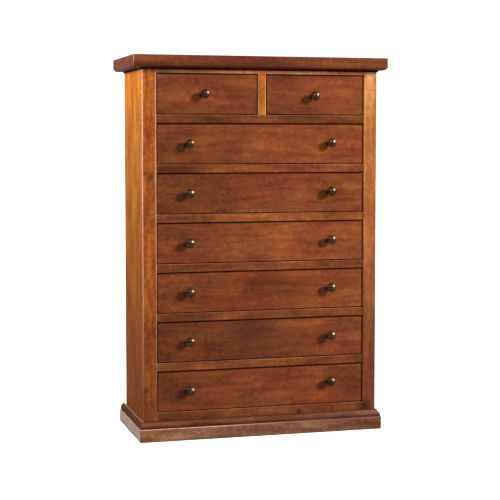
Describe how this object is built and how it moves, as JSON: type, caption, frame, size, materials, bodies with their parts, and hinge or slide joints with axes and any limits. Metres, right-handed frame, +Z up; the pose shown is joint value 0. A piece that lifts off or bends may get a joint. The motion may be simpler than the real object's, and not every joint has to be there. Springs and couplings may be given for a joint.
{
  "type": "chest of drawers",
  "caption": "Tall wooden chest with small drawers side by side above full-width drawers, round metal knobs, thick top and moulded plinth.",
  "frame": {"origin": "on the floor under the middle of the whole chest", "axes": "+Z up, +X to the viewer's right, the drawers open towards -Y"},
  "size_m": [0.966, 0.414, 1.4],
  "materials": {
    "stained_wood": "satin brown stain",
    "inner_wood": "planed, unfinished",
    "drawer_wood": "planed, clear sealed",
    "thin_panel": "plywood, clear sealed",
    "dark_bronze": "dark oiled bronze",
    "screw_steel": "zinc plated"
  },
  "bodies": {
    "case": {"top_board": "stained_wood", "under_top_strip": "stained_wood", "post_left": "stained_wood", "post_right": "stained_wood", "side_panel_left": "stained_wood", "side_panel_right": "stained_wood", "top_rail": "stained_wood", "rail_1": "stained_wood", "rail_2": "stained_wood", "rail_3": "stained_wood", "rail_4": "stained_wood", "rail_5": "stained_wood", "rail_6": "stained_wood", "bottom_rail": "stained_wood", "center_divider": "stained_wood", "center_runner": "inner_wood", "drawer_runners": "inner_wood", "drawer_guides": "inner_wood", "drawer_stops": "inner_wood", "rear_rails": "inner_wood", "back_panel": "thin_panel", "plinth_front": "stained_wood", "plinth_left": "stained_wood", "plinth_right": "stained_wood", "plinth_back": "inner_wood", "plinth_glue_blocks": "inner_wood", "base_moulding": "stained_wood", "wood_screws": "screw_steel"},
    "drawer_top_left": {"drawer_top_left_front": "stained_wood", "drawer_top_left_box": "drawer_wood", "drawer_top_left_bottom": "thin_panel", "drawer_top_left_knobs": "dark_bronze"},
    "drawer_top_right": {"drawer_top_right_front": "stained_wood", "drawer_top_right_box": "drawer_wood", "drawer_top_right_bottom": "thin_panel", "drawer_top_right_knobs": "dark_bronze"},
    "drawer_2": {"drawer_2_front": "stained_wood", "drawer_2_box": "drawer_wood", "drawer_2_bottom": "thin_panel", "drawer_2_knobs": "dark_bronze"},
    "drawer_3": {"drawer_3_front": "stained_wood", "drawer_3_box": "drawer_wood", "drawer_3_bottom": "thin_panel", "drawer_3_knobs": "dark_bronze"},
    "drawer_4": {"drawer_4_front": "stained_wood", "drawer_4_box": "drawer_wood", "drawer_4_bottom": "thin_panel", "drawer_4_knobs": "dark_bronze"},
    "drawer_5": {"drawer_5_front": "stained_wood", "drawer_5_box": "drawer_wood", "drawer_5_bottom": "thin_panel", "drawer_5_knobs": "dark_bronze"},
    "drawer_6": {"drawer_6_front": "stained_wood", "drawer_6_box": "drawer_wood", "drawer_6_bottom": "thin_panel", "drawer_6_knobs": "dark_bronze"},
    "drawer_7": {"drawer_7_front": "stained_wood", "drawer_7_box": "drawer_wood", "drawer_7_bottom": "thin_panel", "drawer_7_knobs": "dark_bronze"}
  },
  "joints": [
    {"name": "drawer_top_left_slide", "type": "slide", "parent": "case", "child": "drawer_top_left", "axis": [0, -1, 0], "range_m": [0, 0.23]},
    {"name": "drawer_top_right_slide", "type": "slide", "parent": "case", "child": "drawer_top_right", "axis": [0, -1, 0], "range_m": [0, 0.23]},
    {"name": "drawer_2_slide", "type": "slide", "parent": "case", "child": "drawer_2", "axis": [0, -1, 0], "range_m": [0, 0.23]},
    {"name": "drawer_3_slide", "type": "slide", "parent": "case", "child": "drawer_3", "axis": [0, -1, 0], "range_m": [0, 0.23]},
    {"name": "drawer_4_slide", "type": "slide", "parent": "case", "child": "drawer_4", "axis": [0, -1, 0], "range_m": [0, 0.23]},
    {"name": "drawer_5_slide", "type": "slide", "parent": "case", "child": "drawer_5", "axis": [0, -1, 0], "range_m": [0, 0.23]},
    {"name": "drawer_6_slide", "type": "slide", "parent": "case", "child": "drawer_6", "axis": [0, -1, 0], "range_m": [0, 0.23]},
    {"name": "drawer_7_slide", "type": "slide", "parent": "case", "child": "drawer_7", "axis": [0, -1, 0], "range_m": [0, 0.23]}
  ]
}
